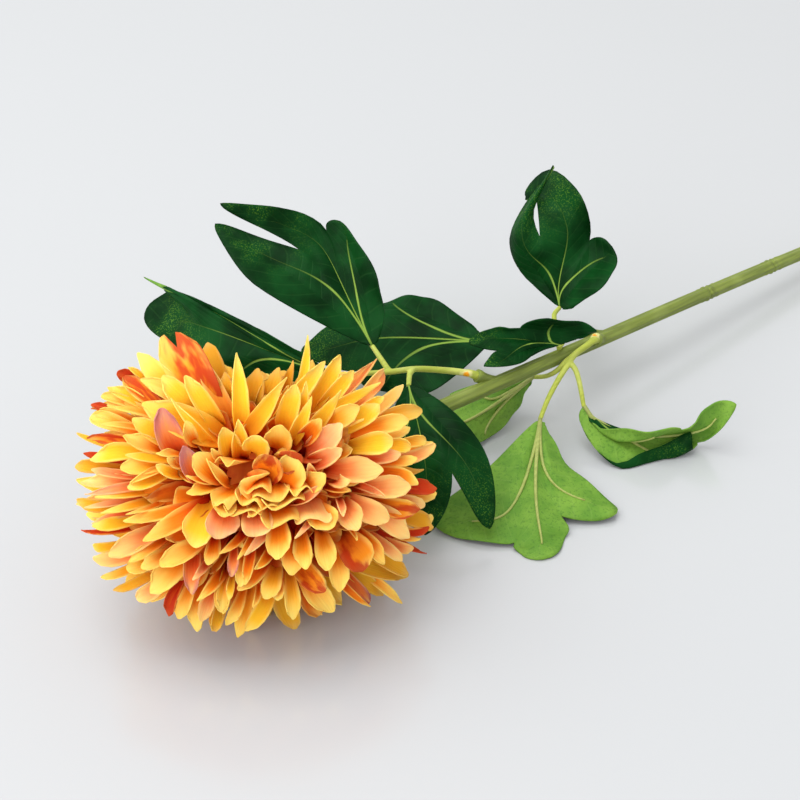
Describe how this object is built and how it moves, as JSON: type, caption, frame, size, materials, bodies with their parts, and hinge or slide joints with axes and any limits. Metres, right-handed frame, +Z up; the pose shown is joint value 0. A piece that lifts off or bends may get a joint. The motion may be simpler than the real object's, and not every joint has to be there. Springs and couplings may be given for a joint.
{
  "type": "pompon chrysanthemum stem",
  "caption": "Cut stem of a full double chrysanthemum lying on its side: a ball of layered petals, a stepped stem and three sprays of lobed leaves.",
  "frame": {"origin": "bottom centre of the whole flower, on the table it lies on", "axes": "+Z up from the table, +X along the stem from the bloom to the cut end, +Y to the left of the stem seen from the bloom"},
  "size_m": [0.5968, 0.2156, 0.1147],
  "materials": {
    "petal_silk": "matt, dyed orange at the root and cream at the rim",
    "leaf_silk": "waxed, dark green upper side",
    "leaf_silk_pale": "matt, light green under side",
    "stem_plastic": "satin",
    "stalk_plastic": "satin"
  },
  "bodies": {
    "root": {"bloom": "petal_silk", "calyx": "stem_plastic", "stem": "stem_plastic", "stalks_near": "stalk_plastic", "stalks_front": "stalk_plastic", "stalks_back": "stalk_plastic", "leaf_a": "leaf_silk", "leaf_b": "leaf_silk", "leaf_c": "leaf_silk", "leaf_d": "leaf_silk", "leaf_e": "leaf_silk", "leaf_f": "leaf_silk", "leaf_g": "leaf_silk_pale", "leaf_h": "leaf_silk_pale", "leaf_i": "leaf_silk_pale"}
  },
  "joints": []
}
